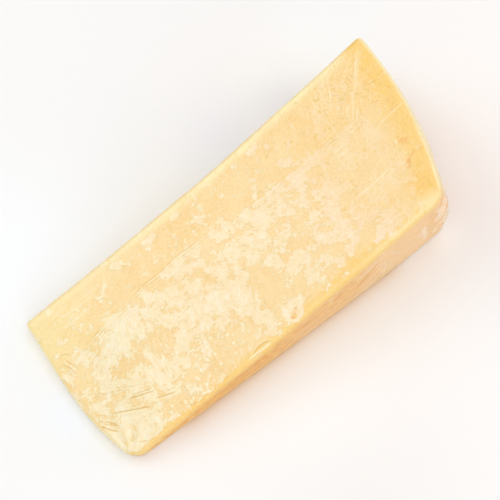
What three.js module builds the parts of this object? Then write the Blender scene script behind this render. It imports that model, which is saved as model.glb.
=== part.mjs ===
// A wedge of hard aged cheese wrapped tight in clear film, lying on one of its two long cut faces.
// It is a sector of a wheel: the thin end was near the wheel's axis, the thick end carries the rind,
// one long side is the wheel's flat rind face and the other is a level cut through the wheel.
// Millimetres, +Z up, +X from the thin end to the thick end, -Y the side of the flat rind face.
// The origin is the middle of the footprint's box, on the floor.
import * as THREE from "three";
import { mergeVertices } from "three/addons/utils/BufferGeometryUtils.js";

// The wheel and the cuts
const WHEEL_RADIUS = 226; // to the rind of a wheel about 450 mm across
const WEDGE_ANGLE = THREE.MathUtils.degToRad(18); // a twentieth of the wheel
const TIP_RADIUS = 26; // the thin end stops about this far from the wheel's axis
const PIECE_HEIGHT = 81.2; // from the flat rind face to the level cut, along the wheel's axis

// How the faces stray from the plain sector
const TIP_SLANT = 2.4; // its corner on the flat rind face is this much further from the axis
const TIP_BOW = 4.2; // it bulges out between its corners
const TIP_BOW_LEAN = 1.3; // above 1 the bulge sits nearer the flat rind face
const SHOULDER_DEPTH = 18; // the heel draws in towards the flat rind face
const SHOULDER_START = 75; // and starts to, this far from that face
const SHOULDER_POWER = 2;
const CUT_HOLLOW = 2; // the level cut is hollow along its length
const RIND_SWELL = 0.9; // the flat rind face is full along its length
const FOOT_SPREAD = 0.5; // and leans out by this much down to its foot
const TOP_SWELL = 0.6; // the upper cut face is a little full in the middle
const FACE_WAVE = 0.35; // height of the low waves left by cutting and wrapping

// Edges and corners
const EDGE_RADIUS = 2.2;
const TIP_CORNER = 6.5; // the two corners on the flat rind face, seen in plan
const HEEL_CORNER = 5;

// Gathers of the film, which stand up as low pleats round two corners
const PLEAT_HEIGHT = 0.5;
const PLEAT_REACH = 26; // they fade out this far from their corner
const PLEATS_IN_A_TURN = 14;

// Steps of the surface along, across and up
const STEPS_ALONG = 48;
const STEPS_ACROSS = 24;
const STEPS_UP = 12;

const LENGTH = WHEEL_RADIUS - TIP_RADIUS;

// Fades smoothly from 1 at the start to 0 at the end of a reach.
function fade(distance, reach) {
  return 1 - THREE.MathUtils.smoothstep(distance, 0, reach);
}

// Place of grid line i of count on a side: two short steps inside each rounded edge, even ones between.
function linePlace(i, count, length, radius) {
  const turn = [0, radius * (1 - Math.tan(Math.PI / 8)), radius];
  if (i <= 2) return turn[i];
  if (i >= count - 2) return length - turn[count - i];
  return radius + ((length - 2 * radius) * (i - 2)) / (count - 4);
}

// Moves a point of a box's skin onto the same box with its edges and corners rounded.
function roundEdges(point, size, radius) {
  const inner = point.clone().clamp(
    new THREE.Vector3(radius, radius, radius),
    size.clone().subScalar(radius),
  );
  const out = point.clone().sub(inner);
  return out.lengthSq() > 0 ? inner.add(out.setLength(radius)) : inner;
}

// Turns the plan's square corner on the flat rind face, at the given end, into a quarter disc.
function turnCorner(point, cornerX, outward, radius) {
  const a = outward * (point.x - cornerX) + radius;
  const b = radius - point.y;
  if (a <= 0 || b <= 0) return;
  const shrink = Math.max(a, b) / Math.hypot(a, b);
  point.x = cornerX + outward * (a * shrink - radius);
  point.y = radius - b * shrink;
}

// Radius of the thin end at a height above the flat rind face: it slants, and a leaning half sine bows it.
function tipRadius(y) {
  const fromCut = 1 - THREE.MathUtils.clamp(y / PIECE_HEIGHT, 0, 1);
  return TIP_RADIUS + TIP_SLANT * (fromCut - 0.5) - TIP_BOW * Math.sin(Math.PI * fromCut ** TIP_BOW_LEAN);
}

// Radius of the rind at a height above the flat rind face: a power curve draws the shoulder in.
function heelRadius(y) {
  const drawn = Math.max(0, SHOULDER_START - y) / SHOULDER_START;
  return WHEEL_RADIUS - SHOULDER_DEPTH * drawn ** SHOULDER_POWER;
}

// Low pleats that radiate from a corner of the plan and fade with the distance from it.
function pleats(x, y, cornerX, cornerY) {
  const distance = Math.hypot(x - cornerX, y - cornerY);
  const turn = Math.atan2(y - cornerY, x - cornerX);
  const clear = THREE.MathUtils.smoothstep(distance, EDGE_RADIUS, PLEAT_REACH / 2);
  return PLEAT_HEIGHT * Math.sin(PLEATS_IN_A_TURN * turn) * clear * fade(distance, PLEAT_REACH);
}

// Low waves of the upper cut face, as a product of slow sines along and across it.
function topWave(x, y) {
  return FACE_WAVE * (Math.sin(x / 17 + y / 31) * Math.cos(y / 13 - x / 47) + 0.5 * Math.sin(x / 9 - y / 11));
}

// Low waves of the upright faces, by the distance along them and the height.
function sideWave(along, up) {
  return FACE_WAVE * Math.sin(along / 14 + up / 19) * Math.cos(up / 12 - along / 37);
}

// Takes grid lines (i, j, k) of the box to the wedge's skin.
function wedgePoint(i, j, k) {
  const along = linePlace(i, STEPS_ALONG, LENGTH, EDGE_RADIUS);
  const across = linePlace(j, STEPS_ACROSS, PIECE_HEIGHT, EDGE_RADIUS);
  const arc = (TIP_RADIUS + along) * WEDGE_ANGLE;
  const up = linePlace(k, STEPS_UP, arc, EDGE_RADIUS);
  const point = roundEdges(
    new THREE.Vector3(along, across, up),
    new THREE.Vector3(LENGTH, PIECE_HEIGHT, arc),
    EDGE_RADIUS,
  );
  const share = point.z / arc;

  turnCorner(point, 0, -1, TIP_CORNER);
  turnCorner(point, LENGTH, 1, HEEL_CORNER);

  const s = point.x / LENGTH;
  const v = point.y / PIECE_HEIGHT;
  const halfTurn = Math.sin(Math.PI * s);
  const upright = Math.sin(Math.PI * share);
  const onEnds = (s - 0.5) * 2;
  const onSides = (v - 0.5) * 2;

  // the wheel's polar place, with the bowed thin end and the shoulder of the heel
  const radius =
    THREE.MathUtils.lerp(tipRadius(point.y), heelRadius(point.y), s) +
    upright * onEnds ** 9 * sideWave(point.y, point.z);
  const angle = WEDGE_ANGLE * share;

  // the upper face swells, waves and pleats by the share of the height, so the floor stays flat
  const lift =
    TOP_SWELL * halfTurn * Math.sin(Math.PI * v) +
    topWave(point.x, point.y) +
    pleats(point.x, point.y, 0, 0) +
    pleats(point.x, point.y, LENGTH, 0);
  const sides =
    (v < 0.5 ? -RIND_SWELL : -CUT_HOLLOW) * halfTurn * Math.abs(onSides) ** 3 +
    upright * onSides ** 9 * sideWave(point.x, point.z) -
    FOOT_SPREAD * (1 - v) * (1 - share);

  return new THREE.Vector3(
    radius * Math.cos(angle),
    point.y + sides,
    radius * Math.sin(angle) + lift * share ** 3,
  );
}

// A box's skin with its grid lines carried to the wedge, closed and facing out.
function wedgeGeometry() {
  const steps = [STEPS_ALONG, STEPS_ACROSS, STEPS_UP];
  const box = new THREE.BoxGeometry(...steps, ...steps);
  box.deleteAttribute("normal");
  box.deleteAttribute("uv");
  const geometry = mergeVertices(box);
  const position = geometry.getAttribute("position");
  for (let n = 0; n < position.count; n++) {
    const i = Math.round(position.getX(n) + STEPS_ALONG / 2);
    const j = Math.round(position.getY(n) + STEPS_ACROSS / 2);
    const k = Math.round(position.getZ(n) + STEPS_UP / 2);
    position.setXYZ(n, ...wedgePoint(i, j, k));
  }
  geometry.computeBoundingBox();
  const middle = geometry.boundingBox.getCenter(new THREE.Vector3());
  geometry.translate(-middle.x, -middle.y, -geometry.boundingBox.min.z);
  geometry.computeVertexNormals();
  return geometry;
}

const wrappedCheese = new THREE.MeshStandardMaterial({
  color: "#fee3ad",
  roughness: 0.3,
  metalness: 0,
});

const wedge = new THREE.Mesh(wedgeGeometry(), wrappedCheese);
wedge.name = "wrapped_wedge";

const cheese = new THREE.Group();
cheese.name = "cheese_wedge";
cheese.add(wedge);

export default cheese;
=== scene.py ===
"""A long wedge of hard, straw-coloured cheese, wrapped tight in clear film and lying on a cut face.

The wedge is a sector of a wheel. Its heel and its long near side carry the rind, and the far side is a
level cut. The film is one closed wrap with a second layer over the upper face, where the caught air shows
as milky patches, and folded ends. Sizes are millimetres until a mesh is made, which is in metres.
"""

import bpy
import numpy as np
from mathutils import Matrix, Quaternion, Vector


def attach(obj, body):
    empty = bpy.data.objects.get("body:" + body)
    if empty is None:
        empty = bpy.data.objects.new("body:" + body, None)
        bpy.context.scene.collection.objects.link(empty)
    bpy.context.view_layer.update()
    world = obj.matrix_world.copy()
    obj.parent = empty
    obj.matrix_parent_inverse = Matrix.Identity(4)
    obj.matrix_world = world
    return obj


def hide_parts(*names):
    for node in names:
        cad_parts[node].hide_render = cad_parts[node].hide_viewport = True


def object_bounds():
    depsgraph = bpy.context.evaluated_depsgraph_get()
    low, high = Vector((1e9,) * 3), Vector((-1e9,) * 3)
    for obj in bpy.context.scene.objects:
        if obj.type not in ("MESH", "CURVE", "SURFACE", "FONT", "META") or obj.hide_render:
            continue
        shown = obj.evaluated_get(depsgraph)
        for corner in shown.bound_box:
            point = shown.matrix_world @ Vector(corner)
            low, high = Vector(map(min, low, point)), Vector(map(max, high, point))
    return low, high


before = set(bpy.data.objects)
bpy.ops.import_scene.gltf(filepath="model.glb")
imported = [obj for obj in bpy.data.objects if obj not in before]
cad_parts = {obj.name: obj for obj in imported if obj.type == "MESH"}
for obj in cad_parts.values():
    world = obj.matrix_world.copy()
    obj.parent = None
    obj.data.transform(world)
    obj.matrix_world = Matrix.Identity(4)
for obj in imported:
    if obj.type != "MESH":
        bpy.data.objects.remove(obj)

METRE = 1000.0
scene = bpy.context.scene
SOLID = "wrapped_wedge"
cad_low, cad_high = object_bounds()

# The wheel and the cuts, as in the solid
WHEEL_RADIUS = 226.0
WEDGE_ANGLE = np.radians(18)
TIP_RADIUS = 26.0
PIECE_HEIGHT = 81.2
TIP_SLANT = 2.4
TIP_BOW = 4.2
TIP_BOW_LEAN = 1.3
SHOULDER_DEPTH = 18.0
SHOULDER_START = 75.0
SHOULDER_POWER = 2.0
CUT_HOLLOW = 2.0
RIND_SWELL = 0.9
FOOT_SPREAD = 0.5
TOP_SWELL = 0.6
FACE_WAVE = 0.35
EDGE_RADIUS = 2.2
TIP_CORNER = 6.5
HEEL_CORNER = 5.0
PLEAT_HEIGHT = 0.5
PLEAT_REACH = 26.0
PLEATS_IN_A_TURN = 14
LENGTH = WHEEL_RADIUS - TIP_RADIUS

# The wheel's axis and the flat rind face, from the solid's box
AXIS_X = cad_high.x * METRE - WHEEL_RADIUS
NEAR_Y = cad_low.y * METRE + RIND_SWELL + FOOT_SPREAD


# Shape of the wedge

def smooth(value, low, high):
    """Rises from 0 at low to 1 at high as 3t^2 - 2t^3."""
    t = np.clip((value - low) / (high - low), 0, 1)
    return t * t * (3 - 2 * t)


def fall(value, low, high):
    """Falls from 1 at low to 0 at high as 1 - 3t^2 + 2t^3."""
    return 1 - smooth(value, low, high)


def bell(value, middle, width):
    """1 where the value equals middle, falling off as exp(-((value - middle) / width)^2)."""
    return np.exp(-((value - middle) / width) ** 2)


def tip_radius(y):
    """Radius of the thin end above the rind face: it slants, and a leaning half sine bows it out."""
    from_cut = 1 - np.clip(y / PIECE_HEIGHT, 0, 1)
    return TIP_RADIUS + TIP_SLANT * (from_cut - 0.5) - TIP_BOW * np.sin(np.pi * from_cut ** TIP_BOW_LEAN)


def heel_radius(y):
    """Radius of the rind above the rind face: a power curve draws the shoulder in."""
    drawn = np.maximum(0, SHOULDER_START - y) / SHOULDER_START
    return WHEEL_RADIUS - SHOULDER_DEPTH * drawn ** SHOULDER_POWER


def arc_at(along):
    """Length of the arc from the lower cut face to the upper one."""
    return (TIP_RADIUS + along) * WEDGE_ANGLE


def pleats(x, y, corner_x):
    """Sine waves round a corner of the near side, fading in past the edge and out at their reach."""
    distance = np.hypot(x - corner_x, y)
    turn = np.arctan2(y, x - corner_x)
    clear = smooth(distance, EDGE_RADIUS, PLEAT_REACH / 2)
    return PLEAT_HEIGHT * np.sin(PLEATS_IN_A_TURN * turn) * clear * fall(distance, 0, PLEAT_REACH)


def top_wave(x, y):
    """A product of slow sines along and across the upper face."""
    slow = np.sin(x / 17 + y / 31) * np.cos(y / 13 - x / 47)
    return FACE_WAVE * (slow + 0.5 * np.sin(x / 9 - y / 11))


def side_wave(along, up):
    """A product of slow sines along and up an upright face."""
    return FACE_WAVE * np.sin(along / 14 + up / 19) * np.cos(up / 12 - along / 37)


def turn_corner(x, y, corner_x, outward, radius):
    """Turns the plan's square corner at one end of the near side into a quarter disc."""
    a = outward * (x - corner_x) + radius
    b = radius - y
    inside = (a > 0) & (b > 0)
    shrink = np.where(inside, np.maximum(a, b) / np.maximum(np.hypot(a, b), 1e-9), 1)
    return (
        np.where(inside, corner_x + outward * (a * shrink - radius), x),
        np.where(inside, radius - b * shrink, y),
    )


def wedge_skin(box):
    """Takes points on the skin of a plain box (along, across, up) to the skin of the wedge.

    Edges are rounded by moving each point to a fixed distance from the box shrunk by that distance. Then
    the plan's near corners are turned, and (along, up) becomes the wheel's radius and angle.
    """
    arc = arc_at(box[:, 0])
    size = np.stack([np.full_like(arc, LENGTH), np.full_like(arc, PIECE_HEIGHT), arc], axis=1)
    inner = np.clip(box, EDGE_RADIUS, size - EDGE_RADIUS)
    out = box - inner
    point = inner + out * (EDGE_RADIUS / np.maximum(np.linalg.norm(out, axis=1), 1e-9))[:, None]
    share = point[:, 2] / arc
    x, y = turn_corner(point[:, 0], point[:, 1], 0, -1, TIP_CORNER)
    x, y = turn_corner(x, y, LENGTH, 1, HEEL_CORNER)

    s = x / LENGTH
    v = y / PIECE_HEIGHT
    half_turn = np.sin(np.pi * s)
    upright = np.sin(np.pi * share)
    on_ends = (s - 0.5) * 2
    on_sides = (v - 0.5) * 2
    radius = (1 - s) * tip_radius(y) + s * heel_radius(y)
    radius = radius + upright * on_ends ** 9 * side_wave(y, point[:, 2])
    angle = WEDGE_ANGLE * share
    lift = TOP_SWELL * half_turn * np.sin(np.pi * v) + top_wave(x, y)
    lift = lift + pleats(x, y, 0) + pleats(x, y, LENGTH)
    sides = np.where(v < 0.5, -RIND_SWELL, -CUT_HOLLOW) * half_turn * np.abs(on_sides) ** 3
    sides = sides + upright * on_sides ** 9 * side_wave(x, point[:, 2])
    sides = sides - FOOT_SPREAD * (1 - v) * (1 - share)
    return np.stack([
        AXIS_X + radius * np.cos(angle),
        NEAR_Y + y + sides,
        radius * np.sin(angle) + lift * share ** 3,
    ], axis=1)


def in_wheel(box):
    """The wheel's own measures of a point: radius, height above the rind face, arc below the upper face."""
    arc = arc_at(box[:, 0])
    s = box[:, 0] / LENGTH
    y = box[:, 1]
    radius = (1 - s) * tip_radius(y) + s * heel_radius(y)
    return np.stack([radius, y, radius * WEDGE_ANGLE * (1 - box[:, 2] / arc)], axis=1)


# Grids on a box

TURN_STEPS = 3


def turn_places(step):
    """Places of the grid lines inside a rounded edge: equal angles of its turn, by the tangent."""
    return EDGE_RADIUS * (1 - np.tan(np.pi / 4 * (1 - np.minimum(step / TURN_STEPS, 1))))


def line_places(index, count, length):
    """Places of grid lines on a side: short steps inside each rounded edge, even ones between."""
    from_end = np.minimum(index, count - index)
    even = EDGE_RADIUS + (length - 2 * EDGE_RADIUS) * (from_end - TURN_STEPS) / (count - 2 * TURN_STEPS)
    place = np.where(from_end <= TURN_STEPS, turn_places(from_end), even)
    return np.where(index > count / 2, length - place, place)


def box_grid(steps, sides):
    """Grid points on chosen sides of a box of whole steps, each once, and the quads between them.

    A side is (axis, end), with end 0 or -1. Each quad runs round so that its face points out.
    """
    shape = np.array(steps) + 1
    number = np.arange(shape.prod()).reshape(shape)
    quads = []
    for axis, end in sides:
        side = np.take(number, end, axis=axis)
        a, b, c, d = side[:-1, :-1], side[1:, :-1], side[1:, 1:], side[:-1, 1:]
        ring = (a, b, c, d) if (end == -1) != (axis == 1) else (a, d, c, b)
        quads.append(np.stack(ring, axis=-1).reshape(-1, 4))
    used, quads = np.unique(np.concatenate(quads), return_inverse=True)
    return np.stack(np.unravel_index(used, shape), axis=1), quads.reshape(-1, 4)


TIP_SIDE, HEEL_SIDE = (0, 0), (0, -1)
NEAR_SIDE, FAR_SIDE = (1, 0), (1, -1)
BASE_SIDE, TOP_SIDE = (2, 0), (2, -1)
ALL_SIDES = (TIP_SIDE, HEEL_SIDE, NEAR_SIDE, FAR_SIDE, BASE_SIDE, TOP_SIDE)


def wedge_grid(steps, sides, width):
    """Box points and quads of a grid over the wedge; width, a function of along, narrows it across."""
    index, quads = box_grid(steps, sides)
    along = line_places(index[:, 0], steps[0], LENGTH)
    if width is None:
        across = line_places(index[:, 1], steps[1], PIECE_HEIGHT)
    else:
        step = index[:, 1]
        even = EDGE_RADIUS + (width(along) - EDGE_RADIUS) * (step - TURN_STEPS) / (steps[1] - TURN_STEPS)
        across = np.where(step <= TURN_STEPS, turn_places(step), even)
    up = line_places(index[:, 2], steps[2], arc_at(along))
    return np.stack([along, across, up], axis=1), quads


def point_normals(points, quads):
    """Unit normals at the points: the sum of the cross products of each quad's diagonals."""
    corners = points[quads]
    crosses = np.cross(corners[:, 2] - corners[:, 0], corners[:, 3] - corners[:, 1])
    total = np.zeros_like(points)
    for corner in quads.T:
        np.add.at(total, corner, crosses)
    return total / np.maximum(np.linalg.norm(total, axis=1), 1e-12)[:, None]


# Patterns over the skin

def cloud(points, size, seed):
    """Smooth noise from -1 to 1: random values on a lattice of this size, blended by 3t^2 - 2t^3."""
    cells = 37
    values = np.random.default_rng(seed).uniform(-1, 1, (cells,) * 3)
    scaled = points / size + 500.0
    low = np.floor(scaled).astype(int)
    t = scaled - low
    t = t * t * (3 - 2 * t)
    total = np.zeros(len(points))
    for corner in np.ndindex(2, 2, 2):
        at = (low + corner) % cells
        weight = np.where(corner, t, 1 - t).prod(axis=1)
        total += weight * values[at[:, 0], at[:, 1], at[:, 2]]
    return total


def ridge(points, start, end, face, width, bow=0.0):
    """1 along a line from start to end, falling off as a bell across it and flattening out at its ends.

    The line bends sideways in its face by bow in the middle, as a parabola.
    """
    way = np.subtract(end, start)
    length = np.linalg.norm(way)
    share = np.clip((points - start) @ way / length ** 2, 0, 1)
    sideways = np.cross(face, way / length)
    centre = start + share[:, None] * way + (4 * bow * share * (1 - share))[:, None] * sideways
    distance = np.linalg.norm(points - centre, axis=1)
    return bell(distance, 0, width) * (1 - (2 * share - 1) ** 6)


def dot(points, centre, radius):
    """A round bell of this radius at a place."""
    return np.exp(-(((points - centre) / radius) ** 2).sum(axis=1))


TOP = np.array([0.0, 0.0, 1.0])
SIDE = np.array([0.0, 1.0, 0.0])
END = np.array([1.0, 0.0, 0.0])

# Where the film lies off the upper face, so that it looks milky: radius, height above the rind face, half
# sizes across both, strength
AIR_PATCHES = (
    (41, 10, 8, 7, 0.6), (52, 44, 10, 4.5, 1.2), (57, 46, 7, 5, 0.9), (55, 52, 8, 3, 0.4),
    (71, 50, 9, 5, 0.5), (86, 47, 6, 3, 0.7), (70, 21, 5, 4, 0.9), (67, 6, 3, 3, 0.7), (98, 31, 15, 5, 0.9),
    (112, 24, 5, 5, 0.6), (113, 14, 5, 6, 0.8), (125, 5.5, 6, 5, 1.4), (107, 5.2, 1.8, 1.3, 1.6),
    (137, 49, 9, 5, 0.4), (131, 38, 7, 6, 0.3), (137, 23, 4, 4, 0.5), (149, 13, 9, 3.5, 0.6),
    (165, 20, 6, 5, 0.4), (176.5, 6, 3.5, 2.5, 1.1), (196, 51, 6, 5, 0.5), (104, 24, 4, 4, 0.5),
    (147, 34, 3, 4, 0.4), (164, 53, 6, 4, 0.2), (196, 49, 11, 3, 0.25), (49, 27, 5, 4, 0.5),
    (59, 41, 4, 3.5, 0.8),
)
# Where it lies tight and clear
CLEAR_PATCHES = (
    (50, 37, 4, 4, 1.3), (67, 35, 6, 5, 0.6), (89, 51.5, 4, 1.5, 1), (105, 52, 4, 2, 1.1),
    (110, 48, 3, 2, 0.9), (97, 38, 4, 1.5, 0.7), (122.5, 26, 4.5, 10, 1.5), (125.5, 5, 1.6, 1.2, 3),
    (145, 39, 5, 2, 1.3), (155, 33, 3.5, 3.5, 1.2), (147, 26, 7, 4, 1.1), (173, 28, 3.5, 3, 1.1),
    (180, 23, 4, 2, 0.8), (172.5, 10.2, 3.5, 2.5, 1.6), (172, 22.5, 3, 1.2, 1.4),
    (160.7, 23.6, 2.5, 1.2, 1.4), (160.5, 14, 4, 1.5, 1.3), (171, 16.8, 1.2, 1.5, 1), (167, 7, 2, 2, 1.2),
    (162, 27.6, 1.5, 1.2, 1), (132, 14, 7, 4, 0.7), (90, 14, 14, 9, 0.9), (57, 6, 10, 4, 1.1),
    (66, 14, 4, 2.5, 0.5), (115, 53, 3, 3, 0.7), (33, 35, 4.5, 9, 1), (137, 4, 4, 3, 0.9),
    (160, 3.5, 17, 4.5, 1.2), (104, 3, 8, 2.2, 1), (105, 9, 6, 3, 0.5), (92, 4, 8, 3, 0.6),
    (174, 12, 6, 4, 0.5), (36, 45, 3, 3, 0.6), (38, 30, 4, 5, 0.7), (30, 50, 3, 4, 0.6), (76, 7, 5, 6, 0.7),
    (72, 15, 4, 5, 0.5), (126, 51.5, 5, 4, 0.8), (146, 47, 4, 3, 0.6), (137, 7, 4, 3, 0.8),
    (99, 4.5, 4, 3, 0.6), (181, 4, 2.5, 0.8, 1.6), (192, 30, 13, 14, 0.65), (196, 6, 7, 5, 0.6),
)
# Small marks of the single layer beyond the second layer's edge
FLECKS = (
    (57, 58, 1.2, 0.9, 1.2), (90, 71, 2.5, 1, 0.9), (104, 70, 1.4, 2, 0.9), (107, 60, 3.5, 1.2, 1.2),
    (115, 62, 1.8, 2.6, 1.2), (119, 66, 1.5, 1, 1), (123, 59, 4, 1.2, 0.9), (131, 73, 1.5, 1, 1),
    (141, 60, 1.3, 0.8, 1), (166, 66, 1.4, 1, 1.3), (61, 67, 2.2, 1.2, 1.5), (64, 70, 2, 1.2, 1.4),
    (41, 60, 1.2, 0.8, 0.8), (167, 57, 2, 1.5, 0.6), (187, 68, 5, 8, 0.7), (199, 67, 6, 8, 0.7),
    (75, 75, 3, 1.5, 0.6), (83, 62, 2, 1.2, 0.7), (110, 73, 2, 1, 0.9), (97, 72, 1.5, 1, 0.9),
    (47, 70, 6, 2.5, 0.4), (32, 63, 3, 2, 0.6),
)
# Small round bubbles
BUBBLY = (
    (89, 15, 16, 10, 1), (72, 6, 8, 5, 0.9), (54, 6, 10, 5, 0.9), (112, 64, 22, 10, 0.6),
    (50, 70, 24, 8, 0.5), (145, 10, 12, 6, 0.5), (160, 33, 14, 10, 0.5), (33, 34, 6, 9, 1),
)
# Fine strokes of three slopes, which roughen the patches' outlines and add thin lines of painted shade and
# painted highlight, and the slopes in degrees
STROKES = {
    "steep": ((66, 34, 10, 16, 1), (57, 20, 5, 10, 0.6), (184, 66, 6, 10, 0.7)),
    "easy": ((46, 44, 11, 9, 1), (188, 42, 18, 14, 0.6), (150, 20, 30, 12, 0.4)),
    "falling": (
        (115, 42, 26, 12, 0.6), (150, 44, 14, 10, 0.7), (200, 62, 10, 12, 0.7), (90, 15, 20, 10, 0.5),
    ),
}
STROKE_SLOPES = {"steep": 79, "easy": 18, "falling": -38}


def overlap_edge(along):
    """Height above the rind face of the upper layer's free edge, a slow step with a slight wobble."""
    radius = TIP_RADIUS + along
    level = 58 - 4.6 * smooth(radius, 112, 152) - 7.5 * fall(radius, 22, 82) ** 1.5
    return level + 0.25 * np.sin(radius / 3.1) + 0.2 * np.sin(radius / 7.7 + 1)


def spread(places, table):
    """The sum of the oval bells of a table, taken on the upper face."""
    total = np.zeros(len(places))
    flat = places * (1, 1, 0.5)
    for r, y, half_r, half_y, strength in table:
        total += strength * dot(flat, (r, y, 0), (half_r, half_y, 1.5))
    return total


def warped(places, size, amount, seed):
    """Places moved by slow noise in the plane of the upper face, so that outlines wander."""
    along = cloud(places, size, seed)
    across = cloud(places, size, seed + 1)
    return places + amount * np.stack([along, across, 0 * along], axis=1)


def air_level(places, along):
    """How far the film is off the cheese: above 0 it looks milky, below 0 it clings and is clear."""
    radius, height, drop = places.T
    moved = warped(places, 6, 2.4, 14)
    grainy = 0.45 * cloud(places, 7.5, 11) + 0.75 * cloud(places, 3.7, 12) + 0.4 * cloud(places, 1.9, 13)
    under = 0.12 + grainy + spread(moved, AIR_PATCHES) - spread(moved, CLEAR_PATCHES)
    band = -0.55 + 0.9 * grainy + spread(moved, FLECKS)
    edge = overlap_edge(along)
    level = under + (band - under) * smooth(height, edge - 0.4, edge + 0.2)
    haze_end = 208 - 12 * smooth(height, 42, 56) ** 2 + 16 * smooth(height, 55, 60)
    haze_end = haze_end - 7 * fall(height, 4, 18)
    level = level - 1.2 * smooth(radius, haze_end - 3, haze_end + 2) - 1.8 * bell(height, 0, 1.4)
    near = (height < 2) * smooth(drop, 1, 3)
    below = -1.1 + 0.8 * grainy + 0.4 * smooth(radius, 120, 140)
    on_heel = smooth(radius - heel_radius(height), -3, -1)
    on_far_cut = smooth(height, PIECE_HEIGHT - 3, PIECE_HEIGHT - 1)
    elsewhere = -0.2 + grainy - 0.9 * on_heel + 0.5 * on_far_cut
    side = elsewhere + (below - elsewhere) * near
    return level + (side - level) * smooth(drop, 0.8, 2.2)


def fan(places, hub, plane, angles, lengths, count, seed, width):
    """Creases that spread from a hub: rays between two angles, each from near the hub to its length.

    The plane is two directions, from the first towards the second of which the angles count.
    """
    rng = np.random.default_rng(seed)
    face = np.abs(np.cross(*plane))
    total = np.zeros(len(places))
    for angle in np.linspace(*np.radians(angles), count) + rng.normal(0, 0.05, count):
        ray = np.cos(angle) * plane[0] + np.sin(angle) * plane[1]
        start = hub + ray * rng.uniform(1, 0.3 * lengths[0])
        end = hub + ray * rng.uniform(*lengths)
        mark = ridge(places, start, end, face, width, bow=rng.normal(0, 0.5))
        total = np.maximum(total, rng.uniform(0.35, 1) * mark)
    return total


# Thin creases of the film on the upper face, each drawn on the cheese as a line of painted shade with a
# painted highlight on its pale flank: radius and height above the rind face of both ends, the bend, and how
# strong, below 0 where the pale flank is on the right of the way. Neighbours in the table are kept apart, so
# close creases follow each other in it.
CREASES = (
    (31.9, 22.7, 48.8, 13.3, 0, -1), (42.3, 22.9, 54.5, 17.8, 0, 1), (44.8, 23.1, 53.9, 19.4, 0, 0.7),
    (33.3, 32.8, 43.8, 27.1, 0, -0.4), (44.2, 27.6, 54.9, 22.1, 0, -0.4), (52.2, 15, 61.8, 11.3, 0, -0.8),
    (58.3, 14.4, 63.3, 13.2, 0, 0.5), (66.4, 11.8, 65.4, 4, 0, 0.5), (27.3, 22.3, 31.5, 16.9, 0, 0.8),
    (26.3, 21.7, 31.4, 16.1, 0, -0.5), (24.2, 21.4, 29.8, 14, 0, -0.9), (25.4, 24.4, 28, 20, 0, 0.5),
    (26.1, 26.8, 32.6, 20.6, 0, 0.5), (33.9, 4.9, 38.1, 2.6, 0, 0.6), (62, 3.4, 66.7, 1.8, 0, 0.5),
    (21.4, 31.7, 24.6, 25.7, 0, 0.4), (27.4, 54.8, 30.2, 48.1, 0.7, 0.7),
    (30.6, 55.4, 32.8, 50.4, -0.6, 0.6), (29.4, 58.6, 33.6, 55.2, 0.6, -0.6),
    (26.6, 51.2, 30.4, 45.6, -0.5, 0.5), (99.3, 1.9, 109.8, 1.8, 1.5, 0.8), (97, 0.8, 104.5, 0.3, 0, -0.4),
    (219.8, 77.7, 210.9, 67.5, 0.3, 0.3), (219.4, 75, 209.9, 64.8, 0.3, -0.25),
    (210, 70.7, 209.8, 66.1, 0, 0.35), (211.3, 70.8, 211.9, 67.2, 0, 0.35),
    (199.2, 68.9, 202.6, 65.9, 0, 0.35), (215, 60.9, 218.7, 60.2, 0.4, 0.5),
    (219.9, 61.4, 224.6, 61.4, 0, -0.35), (214, 45.7, 219.7, 45.5, 0, 0.3),
    # short ones, drawn as spots of painted shade
    (43.9, 18.1, 44.8, 17.8, 0, 0.9), (68.3, 5.8, 69.4, 5.2, 0, 0.9), (213.4, 48.6, 214.3, 48, 0, 0.5),
    (210.3, 48.9, 211.2, 48.5, 0, 0.5), (211.2, 45.2, 212, 44.6, 0, 0.5),
    (214.2, 41.9, 215.1, 41.3, 0, 0.5),
)
# Creases that only show pale: painted highlight along each ridge, partly the whiteness of the doubled film
PALE_LINES = (
    (223, 79, 197, 53, 0.8, 0.35), (203, 77, 196, 64, 0.4, 0.4), (192, 75, 186, 60, 0.5, 0.4),
    (179, 25.5, 198, 25.8, -0.3, 0.7), (224, 76.5, 200, 54, -0.6, 0.35), (206, 44, 222, 44.6, 0.2, 0.5),
    (202.2, 60.3, 198.5, 55.8, 0, 0.6), (205.3, 57, 200.7, 51.4, 0, 0.6),
    (183.3, 47.1, 190.7, 47.7, 0, 0.6), (72, 1.5, 80, 9, 0.5, 0.8), (204.5, 58.8, 200, 53.3, 0, 0.6),
    (184.1, 44.6, 191, 44.5, 0, 0.6), (186, 41.9, 191.6, 41.2, 0, 0.5), (96.3, 1.7, 109.4, 0.95, 0.1, 1.3),
    (99, 4.7, 101.6, 4.7, 0, 0.6), (124.4, 5.3, 125.4, 5.3, 0, 1.6), (207.8, 33.8, 209, 33.3, 0, 1.8),
    (41.8, 71.3, 60.3, 70.7, 0, 0.6), (37, 67.5, 56.5, 66.7, 0, 0.6), (60.4, 66, 65.8, 71.8, 0, 0.8),
    (61.6, 66, 68.4, 74.6, 0, 0.8), (37, 74.4, 47, 75.2, 0.3, 0.4), (46, 72.8, 60, 72.6, 0.2, 0.5),
)
# Brown marks
AMBER_LINES = (
    (210.9, 24.3, 208.8, 23.7, 0, 0.9), (208.8, 23.7, 206.5, 23.6, 0.3, 0.9),
    (206.5, 23.6, 207.4, 21.2, 0.2, 0.8), (207.4, 21.2, 204.3, 21, 0.3, 1),
    (212.2, 24.6, 210.3, 25.2, 0.2, 0.7), (208.9, 32.9, 210.4, 32, 0, 1.2),
    (210, 32.1, 212.2, 32.3, 0.4, 1), (212.2, 32.3, 212.6, 30.3, 0.4, 0.9),
    (212.4, 30.4, 210.4, 29.2, 0.3, 0.8), (127, 6.6, 127.6, 4.6, 0.2, 1), (122.7, 4, 125.2, 3.1, -0.2, 1),
)
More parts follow.
